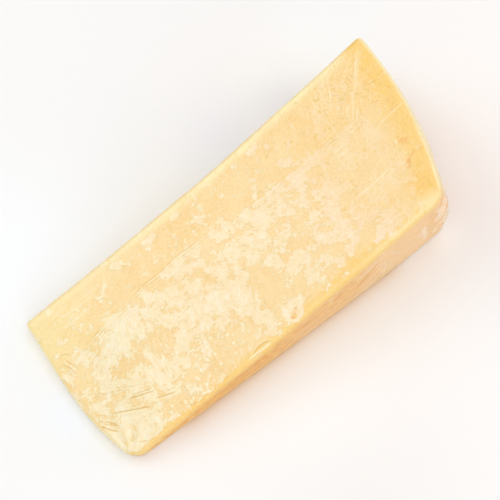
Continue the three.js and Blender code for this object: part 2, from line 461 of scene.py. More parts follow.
# Folds of the near side, drawn as painted shade with a painted highlight beside: radius and arc below the
# upper face of both ends, the bend, and how strong
SIDE_CREASES = (
    (152, 27, 169, 10, 1.6, 0.8), (157.6, 23.8, 168, 21.5, 0.6, 0.6), (159.3, 36.3, 168.2, 30, 0.8, 0.6),
    (162.9, 46.6, 168.6, 37.2, 0.6, 0.6), (120, 12, 133, 17, 0.5, 0.7), (88, 9, 99, 12, -0.5, -0.7),
    (106, 20, 118, 22, 0.5, 0.5), (140, 14, 152, 11, 0.6, -0.5), (42.2, 2.9, 45.9, 4.6, 0, 0.7),
)
# Pale folds of the near side, raised in the film and drawn on the cheese as painted highlight
SIDE_PALE = (
    (156, 12, 176, 7, 1, 0.7), (166.7, 15.8, 172.3, 31.3, 0.8, 0.7), (170.4, 24.8, 166.2, 38.5, 0.6, 0.7),
    (174, 10, 179, 32, 0.6, 0.4), (180, 14, 187, 28, 0.4, 0.3), (104, 8, 118, 11, 0.5, 0.5),
)
# The sets in which the finish draws lines, so that close ones are kept apart
DARK_SETS = {f"crease_{i}": CREASES[i::3] for i in range(3)}
PALE_SETS = {f"pale_{i}": PALE_LINES[i::2] for i in range(2)}
# How far from a line its values reach, how far a place without a line counts, and half a fold's width
LINE_REACH = 1.2
SIDE_REACH = 3.5
FAR_ASIDE = 9.0
FOLD_WIDTH = 1.1


def line_values(name, here, table, reach, shown):
    """How far each place is from the nearest line, to its pale side, and how strong that line is there.

    A distance varies evenly from point to point of a mesh, so the cheese's finish can draw a line from it
    that is thinner than the mesh's steps.
    """
    aside = np.full(len(here), FAR_ASIDE)
    strong = np.zeros(len(here))
    for *ends, bow, strength in table:
        start, end = np.reshape(ends, (2, 2))
        way = end - start
        length = np.hypot(*way)
        from_start = here - start
        share = np.clip(from_start @ way / length ** 2, 0, 1)
        across = from_start @ np.array([-way[1], way[0]]) / length - 4 * bow * share * (1 - share)
        beyond = np.maximum(np.abs(from_start @ way / length - length / 2) - length / 2, 0)
        fade = np.exp(-(np.hypot(across, beyond) / reach) ** 4)
        level = abs(strength) * (1 - (2 * share - 1) ** 6) * fade
        nearer = level > strong
        aside = np.where(nearer, across * np.sign(strength), aside)
        strong = np.where(nearer, level, strong)
    return {name + "_aside": aside, name + "_strength": strong * shown}


def film_lines(places, along):
    """The values of all lines on the cheese: painted shade and highlight of the film's creases and free
    edge, brown marks.
    """
    radius, height, drop = places.T
    upper = places[:, :2]
    on_top = fall(drop, 0.5, 2)
    near = (height < 3) * smooth(drop, 1, 3)
    values = {}
    for name, table in (DARK_SETS | PALE_SETS | {"brown": AMBER_LINES}).items():
        values |= line_values(name, upper, table, LINE_REACH, on_top)
    lower = np.stack([radius, drop], axis=1)
    values |= line_values("side_dark", lower, SIDE_CREASES, SIDE_REACH, near)
    values |= line_values("side_pale", lower, SIDE_PALE, SIDE_REACH, near)
    strong = smooth(radius, 34, 48) * (1 - 0.7 * smooth(radius, 98, 125)) * fall(radius, 185, 200)
    values["free_edge_aside"] = height - overlap_edge(along)
    values["free_edge_strength"] = strong * np.clip(0.75 + 0.8 * cloud(places, 5, 61), 0, 1) * on_top
    return values


HEEL_NEAR = (heel_radius(0), 0, 0)
HEEL_FAR = (WHEEL_RADIUS, PIECE_HEIGHT, 0)
TIP_NEAR = (TIP_RADIUS, 0, 0)
# Fans of creases at the corners, on the upper face and on the sides: strength, hub, plane, angles in
# degrees, lengths, how many, seed and width
FANS = (
    (1, HEEL_FAR, (END, SIDE), (196, 258), (14, 38), 9, 31, 0.55),
    (0.5, HEEL_NEAR, (END, SIDE), (100, 170), (6, 14), 6, 32, 0.5),
    (0.5, TIP_NEAR, (END, SIDE), (8, 60), (5, 14), 7, 33, 0.45),
    (1, HEEL_FAR, (SIDE, TOP), (182, 268), (15, 50), 9, 34, 0.9),
    (1, HEEL_NEAR, (SIDE, TOP), (272, 352), (10, 40), 9, 35, 0.9),
    (1, HEEL_NEAR, (END, TOP), (200, 262), (10, 30), 6, 36, 0.7),
)


def corner_fans(places):
    """The creases gathered at the corners: the strongest of the fans at each place."""
    total = np.zeros(len(places))
    for strength, *shape in FANS:
        total = np.maximum(total, strength * fan(places, *shape))
    return total


GATHER_STEP = 9.0
GATHER_WANDER = 3.2


def from_near_corner(places):
    """Distance from the upright edge between heel and near side."""
    radius, height = places.T[:2]
    return np.hypot(np.maximum(heel_radius(height) - radius, 0), height)


def corner_ripples(places):
    """Gathers that run level round the near corner of the heel: raised cosines down it, broken by noise."""
    drop = places[:, 2]
    phase = 2 * np.pi * (drop + GATHER_WANDER * cloud(places, 8, 26)) / GATHER_STEP
    strength = smooth(drop, 2, 7) * fall(from_near_corner(places), 3, 10)
    strength = strength * (0.7 + 0.5 * cloud(places, 7, 27))
    return 0.5 * (1 - np.cos(phase)) * np.maximum(strength, 0)


def corner_blotches(places):
    """Pale blotches round the same corner, cut from noise that is longer down it than along."""
    patchy = cloud(places * (1.6, 1, 0.8), 5, 29)
    zone = np.minimum(1.6 * dot(places, (HEEL_NEAR[0] - 6, 0, 32), (12, 9, 20)), 1)
    return smooth(patchy, -0.1, 0.2) * zone


# How far the heel's near corner bulges, and how far the near side and this corner stand back at the foot
CORNER_BULGE = 0.9
FOOT_BACK = 0.6
CORNER_BACK = 0.9
CORNER_IN = 0.7


def corner_bulge(places):
    """The near corner of the heel stands out a little below the upper face, as a bell."""
    return CORNER_BULGE * dot(places, (HEEL_NEAR[0], 0, 32), (7, 7, 24))


def foot_shift(places):
    """How far the near side stands back at its foot, with a bell more at the same corner: a level shift."""
    radius, height, drop = places.T
    low = smooth(drop / (radius * WEDGE_ANGLE), 0.45, 1) * fall(height, 0, 25)
    corner = dot(places, (HEEL_NEAR[0], 0, 65), (16, 14, 16))
    return np.stack([-CORNER_IN * corner, FOOT_BACK * low + CORNER_BACK * corner, 0 * corner], axis=1)


def rind_rim_and_highlight(places):
    """How much the edges of the upper face at the heel and the near rind show a golden rim: the rind's own
    gold with a painted highlight where the rounded edge catches light.
    """
    radius, height, drop = places.T
    heel = 0.9 * bell(radius, heel_radius(height), 1.2) * fall(drop, 14, 34)
    heel = heel * (1 - (height < 4) * smooth(drop, 2, 5))
    near = 0.6 * bell(height, 1.6, 0.8) * fall(drop, 0.8, 2)
    return np.maximum(heel, near * smooth(radius, 80, 115) * (1 - 0.5 * smooth(radius, 140, 165)))


def painted_edge_highlight(places):
    """Painted highlight along the rounded edges, laid on the cheese as pale colour: far cut, both ends, near
    heel.
    """
    radius, height, drop = places.T
    on_top = fall(drop, 0.5, 2)
    towards_heel = smooth(radius, 155, 185)
    middle = 2.5 + 0.9 * smooth(radius, 85, 115) - 1.9 * towards_heel
    wide = 2.3 + 0.5 * towards_heel
    far = 0.85 * bell(PIECE_HEIGHT - height, middle, wide) * fall(radius, 208, 220)
    far = far * (0.95 + 0.3 * cloud(places, 7, 51)) * (0.5 + 0.5 * smooth(radius, 60, 100)) * on_top
    near = 0.6 * bell(height, 1.4, 1.5) * smooth(radius, 150, 190) * fall(drop, 1, 5)
    near_heel = 0.7 * dot(places, (203, 3, 0), (6, 3.5, 3))
    rim = fall(heel_radius(height) - radius, 0, 1 + 0.9 * smooth(height, 40, 65))
    heel = 0.95 * rim * fall(drop, 16, 34) * smooth(height, 3, 7)
    past_tip = fall(radius - tip_radius(height), 0.2, 2.2)
    tip = 0.6 * past_tip * smooth(height, 3, 7) * (0.7 + 0.3 * smooth(height, 40, 70))
    return np.clip(np.max([far, near, near_heel, heel, tip], axis=0), 0, 1)


def thin_end_painted_light(places):
    """Painted light: how much lighter the thin end is drawn, most of all by its far corner."""
    radius, height, drop = places.T
    by_far_corner = 0.3 + 0.7 * smooth(height, 38, 74)
    return 0.75 * fall(radius, 24, 70) * by_far_corner * fall(drop, 2, 6)


def side_folds(places):
    """The pale folds of the near side as narrow ridges."""
    total = np.zeros(len(places))
    for start, high, end, low, bow, strength in SIDE_PALE:
        fold = ridge(places, (start, 0, high), (end, 0, low), SIDE, FOLD_WIDTH, bow)
        total = np.maximum(total, strength * fold)
    return total


# Heights of the relief
FAR_HOLLOW = 0.45
SWELLS = (0.1, 0.05)
CRINKLE = 0.1
FAN_RELIEF = 0.22
GATHER_RELIEF = 0.35
FOLD_RELIEF = 0.4
AIR_RELIEF = 0.08


def low_relief(places):
    """Low swells of the cheese, which the film follows, and a bell-shaped hollow along the level cut."""
    radius, height = places.T[:2]
    hollow = FAR_HOLLOW * bell(radius, 138, 42) * smooth(height, PIECE_HEIGHT - 3, PIECE_HEIGHT - 0.5)
    swells = SWELLS[0] * cloud(places, 13, 21) + SWELLS[1] * cloud(places, 5, 22)
    return swells + corner_bulge(places) - hollow


def wrap_relief(places):
    """Height of the film over the cheese: fine wrinkles and gathered creases."""
    crinkle = CRINKLE * bell(cloud(places * (0.45, 1, 1), 6.5, 23), 0, 0.08)
    creases = FAN_RELIEF * corner_fans(places) + GATHER_RELIEF * corner_ripples(places)
    return crinkle + creases + FOLD_RELIEF * side_folds(places)


def overlap_relief(places, along):
    """The second layer follows the first and stands off a little more where there is air."""
    return wrap_relief(places) + AIR_RELIEF * smooth(air_level(places, along), -0.3, 0.3)


# Objects

def new_object(name, data):
    """A new object of the scene with this data."""
    item = bpy.data.objects.new(name, data)
    scene.collection.objects.link(item)
    return item


def make_piece(name, points, quads, material, values):
    """Makes a smooth mesh in metres that rides on the body, with these values as floats at its points."""
    mesh = bpy.data.meshes.new(name)
    mesh.from_pydata((points / METRE).tolist(), [], quads.tolist())
    mesh.shade_smooth()
    for key, value in values.items():
        mesh.attributes.new(key, "FLOAT", "POINT").data.foreach_set("value", value.astype(np.float32))
    mesh.materials.append(material)
    piece = new_object(name, mesh)
    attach(piece, "root")
    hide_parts(SOLID)


# Shader maths

class Wire:
    """An output socket. Arithmetic on it adds Math nodes, and add() adds any other node."""

    def __init__(self, tree, socket=None):
        self.tree = tree
        self.socket = socket

    def add(self, kind, settings, values, out=0):
        """Adds a node: its settings first, then a value or a link for each of its sockets."""
        node = self.tree.nodes.new(kind)
        for name, setting in settings.items():
            setattr(node, name, setting)
        for name, value in values.items():
            if isinstance(value, Wire):
                self.tree.links.new(value.socket, node.inputs[name])
            else:
                node.inputs[name].default_value = value
        return Wire(self.tree, node.outputs[out])

    def math(self, operation, *values):
        """Adds a Math node for these values."""
        return self.add("ShaderNodeMath", {"operation": operation}, dict(enumerate(values)))

    def __add__(self, other):
        return self.math("ADD", self, other)

    def __radd__(self, other):
        return self.math("ADD", other, self)

    def __sub__(self, other):
        return self.math("SUBTRACT", self, other)

    def __rsub__(self, other):
        return self.math("SUBTRACT", other, self)

    def __mul__(self, other):
        return self.math("MULTIPLY", self, other)

    def __rmul__(self, other):
        return self.math("MULTIPLY", other, self)

    def __pow__(self, other):
        return self.math("POWER", self, other)

    def bell(self, middle, width):
        """1 where this equals middle, falling off as exp(-((this - middle) / width)^2)."""
        scaled = (self - middle) * (1 / width)
        return self.math("EXPONENT", 0 - scaled * scaled)

    def value(self, name):
        """The mesh's own value of this name."""
        return self.add("ShaderNodeAttribute", {"attribute_name": name}, {}, out="Fac")

    def axis(self, name):
        """One coordinate of this place, in millimetres."""
        return self.add("ShaderNodeSeparateXYZ", {}, {"Vector": self}, out=name) * METRE

    def stretched(self, turn, along, across):
        """This place turned about the upright and measured in long steps along and short ones across."""
        values = {"Vector": self, "Rotation": (0, 0, np.radians(turn)), "Scale": (along, across, across)}
        return self.add("ShaderNodeMapping", {"vector_type": "TEXTURE"}, values)

    def rise(self, low, high):
        """0 at low and below, 1 at high and above, smooth between."""
        values = {"Value": self, "From Min": low, "From Max": high}
        return self.add("ShaderNodeMapRange", {"interpolation_type": "SMOOTHSTEP"}, values)

    def blend(self, first, second):
        """The first colour where this is 0 and the second where it is 1."""
        values = {0: self, 6: first, 7: second}
        return self.add("ShaderNodeMix", {"data_type": "RGBA"}, values, out=2)

    def darken(self, colour, shade):
        """The colour where this is 0 and the colour times the shade where it is 1."""
        values = {0: self, 6: colour, 7: shade}
        return self.add("ShaderNodeMix", {"data_type": "RGBA", "blend_type": "MULTIPLY"}, values, out=2)

    def noise(self, size, detail=2.0, roughness=0.5, distortion=0.0):
        """Noise about 0.5 over this place, with features of the given size in millimetres."""
        values = {"Vector": self, "Scale": METRE / size, "Detail": detail}
        values |= {"Roughness": roughness, "Distortion": distortion}
        return self.add("ShaderNodeTexNoise", {}, values)


def new_material(name):
    """An empty material, with wires for its tree, its object place and its output node."""
    material = bpy.data.materials.new(name)
    material.use_nodes = True
    tree = material.node_tree
    tree.nodes.clear()
    start = Wire(tree)
    place = start.add("ShaderNodeTexCoord", {}, {}, out="Object")
    return material, start, place


def finish_material(start, surface):
    """Links the surface to the material's output."""
    output = start.tree.nodes.new("ShaderNodeOutputMaterial")
    start.tree.links.new(surface.socket, output.inputs["Surface"])


# Finishes

PASTE_PALE = (0.93, 0.675, 0.305, 1)
PASTE_DEEP = (0.925, 0.635, 0.255, 1)
RIND_BAND = (0.94, 0.6, 0.125, 1)
RIND_DEEP = (0.93, 0.56, 0.085, 1)
RIND_DARK = (0.83, 0.38, 0.05, 1)
RIND_TAN = (0.91, 0.51, 0.1, 1)
RIND_PALE = (0.97, 0.68, 0.38, 1)
# Colours of painted light: rim highlight over the rind's gold, edge highlight, the gathers' lit crests and
# pale blotches and their shaded troughs, the thin end's light
RIND_RIM_AND_HIGHLIGHT = (0.96, 0.71, 0.24, 1)
EDGE_HIGHLIGHT_PAINT = (0.98, 0.84, 0.46, 1)
GATHER_CREST_HIGHLIGHT_AND_BLOTCH = (0.99, 0.75, 0.52, 1)
GATHER_TROUGH_PAINTED_SHADE = (0.97, 0.91, 0.8, 1)
TIP_PAINTED_LIGHT = (0.96, 0.79, 0.37, 1)
AMBER = (0.88, 0.47, 0.09, 1)
CRYSTAL = (0.97, 0.8, 0.5, 1)
AIR_PALE = (0.95, 0.785, 0.485, 1)
AIR_BRIGHT = (0.97, 0.875, 0.66, 1)
OUTLINE = (0.8, 0.6, 0.24, 1)
MILK = (0.95, 0.97, 0.85, 1)
# Painted shade of creases and wrinkles, and the painted highlight beside them
CREASE_PAINTED_SHADE = (0.8, 0.62, 0.24, 1)
WRINKLE_PAINTED_SHADE = (0.87, 0.78, 0.36, 1)
CREASE_PAINTED_HIGHLIGHT = (0.97, 0.85, 0.58, 1)
# Tints of milky patches: the shares of the length between which each fades in, and its colour
AIR_TINTS = ((0.12, 0.35, (1, 0.95, 0.92, 1)), (0.55, 0.75, (1, 0.945, 0.96, 1)))
# Wrinkles along the free edge, each a line of painted shade with a painted highlight beside it: distance
# from it and strength
EDGE_WRINKLES = ((0.1, 1), (-1.4, 0.8), (-2.8, 0.5))
# Fine wrinkles all over, drawn as lines of painted shade and painted highlight: size, distortion, strength
FINE_WRINKLES = ((4.2, 1, 0.7), (2.2, 0.5, 0.35))
BUBBLE_SIZE = 2.7
CREASE_WIDTH = 0.34
CREASE_FLANK = 0.75
PALE_WIDTH = 0.45
SIDE_WIDTH = 1.0
SIDE_FLANK = 2.2
PASTE_ROUGHNESS = 0.45
RIND_ROUGHER = 0.2
FILM_ROUGHNESS = 0.16
VEIL_GATHERED, VEIL_LEAST, VEIL_EDGE_ON = 0.28, 0.015, 0.12
EDGE_ON = (0.82, 0.98)
MIRROR_POWER = 8
BUMP_DEPTH = 0.0003


def line_shares(start, place):
    """Shares of the painted shade along the creases and wrinkles, and of the painted highlight beside them
    and along the pale lines, each a bell across its distance.

    Fine wrinkles are added, as the lines where slow noise takes a certain value.
    """
    def line(name, middle, width):
        """A bell across one set of lines."""
        return start.value(name + "_aside").bell(middle, width) * start.value(name + "_strength")

    dark = line("side_dark", 0, SIDE_WIDTH)
    pale = line("side_dark", SIDE_FLANK, SIDE_WIDTH) * 0.5 + line("side_pale", 0, SIDE_WIDTH) * 0.6
    for name in DARK_SETS:
        dark = dark + line(name, 0, CREASE_WIDTH)
        pale = pale + line(name, CREASE_FLANK, CREASE_WIDTH)
    for name in PALE_SETS:
        pale = pale + line(name, 0, PALE_WIDTH)
    wrinkle = 0
    for middle, strength in EDGE_WRINKLES:
        wrinkle = wrinkle + line("free_edge", middle, 0.26) * strength
        pale = pale + line("free_edge", middle - 0.65, 0.36) * strength * 0.7
    wrinkled = start.value("wrinkled")
    for size, distortion, strength in FINE_WRINKLES:
        ripple = place.noise(size, 2, 0.55, distortion)
        wrinkle = wrinkle + ripple.bell(0.455, 0.018) * wrinkled * strength
        pale = pale + ripple.bell(0.5, 0.02) * wrinkled * strength * 0.6
    return dark, wrinkle, pale


def cheese_material():
    """Fine-grained paste and golden rind, paler wherever the film above doesn't touch it, with painted shade
    and painted highlight for the film's creases, wrinkles and gathers, painted highlight on the edges and
    painted light on the thin end.

    The air attribute is roughened by noise and by strokes in three directions and cut off steeply, so that
    each pale patch has a crisp, ragged outline with a thin darker line round it.
    """
    material, start, place = new_material("straw_yellow_paste_and_rind")
    depth = start.value("rind_depth")
    outside = start.value("rind_side")
    mottle = place.noise(14, 3).rise(0.35, 0.65)
    grain = place.noise(1.3, 3, 0.6)
    crystal = place.noise(2.2, 1).rise(0.7, 0.76)
    paste = mottle.blend(PASTE_PALE, PASTE_DEEP)
    paste = (grain.rise(0.35, 0.75) * 0.2).blend(paste, CRYSTAL)
    paste = (crystal * 0.35).blend(paste, CRYSTAL)
    wander = (place.noise(9, 3, 0.6) - 0.5) * 7
    band = 0.95 - (depth + wander).rise(6.0, 13.0) * 0.75 - (depth + wander).rise(9.0, 22.0) * 0.2
    colour = band.blend(paste, RIND_BAND)
    colour = start.value("rind_deep").blend(colour, RIND_DEEP)
    tan = place.noise(4, 4, 0.65).rise(0.4, 0.6).blend(RIND_DARK, RIND_TAN)
    # rind paler under milky film towards the heel, and painted floor-reflected light towards its foot
    tan = (start.value("rind_milky_and_floor_light") * (0.7 + 0.3 * place.noise(6, 3))).blend(tan, RIND_PALE)
    colour = outside.blend(colour, tan)
    # golden rims: rind colour with a painted highlight on the rounded edges
    colour = start.value("rind_rim_and_highlight").blend(colour, RIND_RIM_AND_HIGHLIGHT)
    # painted light on the thin end
    colour = start.value("thin_end_painted_light").blend(colour, TIP_PAINTED_LIGHT)
    dark, wrinkle, light = line_shares(start, place)
    level = start.value("air") + (place.noise(2, 4, 0.65, 0.5) - 0.5) * 3.2
    level = level + (place.noise(0.8, 2) - 0.5) * 0.7
    for name, slope in STROKE_SLOPES.items():
        stroke = place.stretched(slope, 6, 1.3).noise(1, 2)
        strength = start.value(name)
        level = level + (stroke - 0.5) * strength * 3.2
        # strokes also draw thin lines of painted shade and painted highlight
        wrinkle = wrinkle + stroke.bell(0.4, 0.03) * strength * 0.2
        light = light + stroke.bell(0.62, 0.04) * strength * 0.3
    patch = level.rise(-0.03, 0.03)
    milky = start.value("milky")
    outline = level.rise(-0.2, -0.06) * (1 - patch) * milky
    # rim: a painted highlight just inside the edge of each milky patch
    rim = level.rise(0.02, 0.08) * (1 - level.rise(0.14, 0.24))
    cell = {"Vector": place, "Scale": METRE / BUBBLE_SIZE}
    bubble = 1 - start.add("ShaderNodeTexVoronoi", {}, cell).rise(0.26, 0.32)
    bubble = bubble * start.value("bubbly")
    core = level.rise(0.86, 0.94)
    fleck = place.noise(3, 3, 0.6).rise(0.5, 0.6)
    pale = (rim * 0.4 + fleck * 0.55 + core * 0.5).blend(AIR_PALE, AIR_BRIGHT)
    along = start.value("along")
    for low, high, tint in AIR_TINTS:
        pale = along.rise(low, high).darken(pale, tint)
    pale = outside.blend(pale, RIND_PALE)
    colour = (outline * 0.8).blend(colour, OUTLINE)
    colour = (patch * milky * 0.95).blend(colour, pale)
    colour = (bubble * 0.85).blend(colour, AIR_BRIGHT)
    # painted highlight along the rounded edges
    colour = start.value("painted_edge_highlight").blend(colour, EDGE_HIGHLIGHT_PAINT)
    # gathers at the heel's near corner: painted highlight on their crests and pale film blotches, and
    # painted shade in the troughs between
    gather = start.value("gather")
    colour = (gather.rise(0.35, 0.85) * 0.95).blend(colour, GATHER_CREST_HIGHLIGHT_AND_BLOTCH)
    colour = (start.value("gathered") * (1 - gather.rise(0, 0.35))).darken(colour, GATHER_TROUGH_PAINTED_SHADE)
    # painted shade along the wrinkles
    colour = wrinkle.darken(colour, WRINKLE_PAINTED_SHADE)
    # painted shade along the creases
    colour = dark.darken(colour, CREASE_PAINTED_SHADE)
    # painted highlight beside the creases and wrinkles, along the pale lines and strokes, and on the side
    # folds
    colour = (light * 0.7).blend(colour, outside.blend(CREASE_PAINTED_HIGHLIGHT, RIND_PALE))
    brown = start.value("brown_aside").bell(0, 0.5) * start.value("brown_strength")
    colour = (start.value("amber") + brown).blend(colour, AMBER)
    height = grain * 0.5 + place.noise(0.5, 2) * 0.2
    normal = start.add("ShaderNodeBump", {}, {"Strength": 0.2, "Distance": BUMP_DEPTH, "Height": height})
    values = {
        "Base Color": colour,
        "Roughness": PASTE_ROUGHNESS + outside * RIND_ROUGHER,
        "Normal": normal,
        "Subsurface Weight": 0.08,
        "Subsurface Radius": (1.0, 0.5, 0.2),
        "Subsurface Scale": 0.0012,
    }
    finish_material(start, start.add("ShaderNodeBsdfPrincipled", {}, values))
    return material


def film_material(name, face_on, edge_on):
    """Clear stretch film: see-through, whiter where it gathers at the corners, and glossy.

    Its mirrored share rises from face_on by edge_on times a power of how far it turns away. Where it is
    seen edge-on it gives way to a pale sheen.
    """
    material, start, place = new_material(name)
    white = start.value("white")
    broken = 0.5 + place.noise(2.2, 3, 0.6).rise(0.3, 0.6) * 0.5
    height = place.noise(2.4, 3, 0.6) * 0.8 + white * 0.5
    normal = start.add("ShaderNodeBump", {}, {"Strength": 0.35, "Distance": BUMP_DEPTH, "Height": height})
    matt = {"Base Color": MILK, "Roughness": 0.4, "Specular IOR Level": 0.0, "Normal": normal}
    milk = start.add("ShaderNodeBsdfPrincipled", {}, matt)
    clear = start.add("ShaderNodeBsdfTransparent", {}, {"Color": (1, 1, 1, 1)})
    facing = start.add("ShaderNodeLayerWeight", {}, {"Blend": 0.5}, out="Facing")
    grazing = facing.rise(*EDGE_ON)
    veiled = white * broken * VEIL_GATHERED + VEIL_LEAST + grazing * VEIL_EDGE_ON
    veil = start.add("ShaderNodeMixShader", {}, {0: veiled, 1: clear, 2: milk})
    shiny = {"Color": (1, 1, 1, 1), "Roughness": FILM_ROUGHNESS, "Normal": normal}
    gloss = start.add("ShaderNodeBsdfAnisotropic", {}, shiny)
    mirrored = (face_on + facing ** MIRROR_POWER * edge_on) * (1 - grazing)
    finish_material(start, start.add("ShaderNodeMixShader", {}, {0: mirrored, 1: veil, 2: gloss}))
    return material


# The pieces

# Steps along, across and up, and how far each skin lies off the wedge and off the floor
CHEESE_STEPS, CHEESE_LIFT, CHEESE_FLOOR = (276, 104, 40), -0.12, 0.12
WRAP_STEPS, WRAP_LIFT, WRAP_FLOOR = (280, 108, 44), 0.03, 0.04
OVERLAP_STEPS, OVERLAP_LIFT, OVERLAP_FLOOR = (400, 130, 50), 0.1, 0.08
PORES = 0.05
LIP = 0.15
# Brown spots: radius, height above the rind face, size, strength
AMBER_SPOTS = (
    (211.3, 31.2, 1.1, 0.6), (206.9, 22.6, 1.2, 0.5), (217, 49.5, 1.6, 0.3), (214.2, 62.2, 1.5, 0.4),
    (125.6, 4.4, 1.6, 0.3),
)


def rind_values(places):
    """Distance from the rind, how golden the band under it is, where rind shows, and how pale: milky film
    towards the heel, painted floor light towards the foot.
    """
    radius, height, drop = places.T
    near_scale = 3.6 - 0.9 * smooth(radius, 92, 106) - bell(radius, 160, 20)
    distance = np.minimum(heel_radius(height) - radius, near_scale * height)
    upper = smooth(height, 26, 46) * fall(drop, 1, 4)
    thin_near = smooth(radius, 36, 50) * fall(radius, 80, 105)
    deep = dot(places, (205, 12, 0), (5, 6, 6)) + 0.18 * dot(places, (190, 9, 0), (14, 8, 6))
    deep = deep + 0.13 * smooth(radius, 160, 192) * upper
    deep = deep + 0.6 * bell(height, 0, 1.2) * thin_near
    pale = 0.36 * smooth(radius, 108, 128) + 0.5 * smooth(radius, 150, 170)
    # painted light reflected from the floor, lighter towards the foot of the near side
    pale = pale + 0.35 * smooth(drop / (radius * WEDGE_ANGLE), 0.45, 0.95)
    return {
        "rind_depth": distance,
        "rind_deep": np.clip(deep, 0, 1),
        "rind_side": smooth(drop, 1.5, 7) * fall(distance, 0.5, 2.5),
        "rind_milky_and_floor_light": np.clip(pale, 0, 1) * (height < 6),
    }


def film_values(places, along):
    """Where the film over the cheese is milky, bubbly, stroked, wrinkled or gathered, and where its creases
    and gathers give the cheese painted shade and painted highlight.
    """
    radius, height, drop = places.T
    heel_zone = smooth(radius, 160, 184) * smooth(height, 8, 18)
    calm = smooth(height, 50, 60) * fall(radius, 60, 90)
    wrinkled = (0.6 + 0.1 * heel_zone) * (1 - 0.4 * calm)
    return {
        "air": air_level(places, along),
        "milky": 1 - 0.6 * np.maximum(heel_zone, smooth(radius, 180, 190)),
        "bubbly": np.clip(spread(places, BUBBLY), 0, 1),
        **{name: spread(places, table) for name, table in STROKES.items()},
        "wrinkled": wrinkled + 0.45 * dot(places, (207, 68, 0), (20, 13, 6)),
        # gather: the ripples' crests, for their painted highlight, and pale blotches; gathered: where
        # painted shade falls between them
        "gather": np.maximum(corner_ripples(places) / 0.7, corner_blotches(places)),
        "gathered": np.clip(1.3 * smooth(drop, 2, 7) * fall(from_near_corner(places), 4, 18), 0, 1),
        **film_lines(places, along),
    }


def amber_spots(places):
    """The brown spots as bells with slightly uneven strength."""
    uneven = 0.85 + 0.25 * cloud(places, 1.2, 43)
    total = np.zeros(len(places))
    for radius, height, size, strength in AMBER_SPOTS:
        total = np.maximum(total, 1.6 * strength * dot(places, (radius, height, 0), size) * uneven)
    return np.clip(total, 0, 1)


def skin(steps, sides=ALL_SIDES, width=None):
    """The box points, places, points and normals of one skin over the wedge, and its quads."""
    box, quads = wedge_grid(steps, sides, width)
    places = in_wheel(box)
    points = wedge_skin(box) + foot_shift(places)
    return box, places, points, point_normals(points, quads), quads


def raised(points, normals, lift, lowest):
    """Points lifted along their normals, with none below this height above the floor."""
    points = points + normals * lift[:, None]
    points[:, 2] = np.maximum(points[:, 2], lowest)
    return points


def make_cheese():
    """The wedge itself, closed all round, a hair inside the film."""
    box, places, points, normals, quads = skin(CHEESE_STEPS)
    along = box[:, 0]
    lift = low_relief(places) + PORES * cloud(places, 2.6, 42) + CHEESE_LIFT
    values = {
        "along": (places[:, 0] - TIP_RADIUS) / LENGTH,
        "rind_rim_and_highlight": rind_rim_and_highlight(places),
        "painted_edge_highlight": painted_edge_highlight(places),
        "thin_end_painted_light": thin_end_painted_light(places),
        "amber": amber_spots(places),
        **rind_values(places),
        **film_values(places, along),
    }
    points = raised(points, normals, lift, CHEESE_FLOOR)
    make_piece("cheese", points, quads, cheese_material(), values)


def make_wrap():
    """The first layer of film, closed all round, and whiter along creases that the second leaves bare."""
    box, places, points, normals, quads = skin(WRAP_STEPS)
    height, drop = places.T[1:]
    lift = WRAP_LIFT + low_relief(places) + wrap_relief(places)
    edge = overlap_edge(box[:, 0])
    white = 0.6 * corner_fans(places) * smooth(height, edge - 1, edge) * smooth(drop, 1, 4)
    points = raised(points, normals, lift, WRAP_FLOOR)
    material = film_material("clear_stretch_film", face_on=0.035, edge_on=0.06)
    make_piece("film_wrap", points, quads, material, {"white": np.clip(white, 0, 1)})


def make_overlap():
    """The second layer over the upper face, the near side and both ends, with a slight lip at its edge."""
    sides = (TOP_SIDE, NEAR_SIDE, TIP_SIDE, HEEL_SIDE)
    box, places, points, normals, quads = skin(OVERLAP_STEPS, sides, overlap_edge)
    radius, height, drop = places.T
    along = box[:, 0]
    lip = bell(height, overlap_edge(along), 0.7) * fall(radius, 185, 200)
    lip = lip * (0.7 + 0.5 * cloud(places, 5, 61))
    lift = OVERLAP_LIFT + low_relief(places) + overlap_relief(places, along) + LIP * lip
    blotch = 1.2 * dot(places, (204, 0, 26), (10, 7, 15)) * smooth(cloud(places, 3.2, 28), -0.1, 0.5)
    white = np.max([0.5 * corner_fans(places), side_folds(places), blotch], axis=0) * smooth(drop, 1, 4)
    points = raised(points, normals, lift, OVERLAP_FLOOR)
    material = film_material("clear_film_second_layer", face_on=0.015, edge_on=0.03)
    make_piece("film_overlap", points, quads, material, {"white": np.clip(white, 0, 1)})


# Stage, lights and camera

# Painted shadows and pools of light on the floor: centre and radius in metres, and colour
FLOOR_PAINTED_SHADOWS_AND_LIGHT = (
    (0.093, 0.06, 0.034, (0.955, 0.985, 1.0, 1)), (0.028, 0.057, 0.023, (0.855, 0.875, 0.93, 1)),
    (0.062, 0.052, 0.016, (0.84, 0.86, 0.92, 1)), (-0.081, 0.068, 0.045, (0.94, 0.955, 0.97, 1)),
    (0.1, -0.045, 0.035, (0.885, 0.862, 0.845, 1)), (-0.022, -0.11, 0.048, (0.892, 0.875, 0.86, 1)),
    (0.11, 0.022, 0.02, (0.93, 0.97, 0.985, 1)), (0.096, -0.01, 0.014, (0.9, 0.92, 0.93, 1)),
    (-0.012, -0.05, 0.042, (0.93, 0.945, 0.945, 1)), (-0.1, -0.003, 0.015, (0.9, 0.935, 1.0, 1)),
    (0.08, -0.042, 0.008, (0.955, 0.94, 0.92, 1)),
)
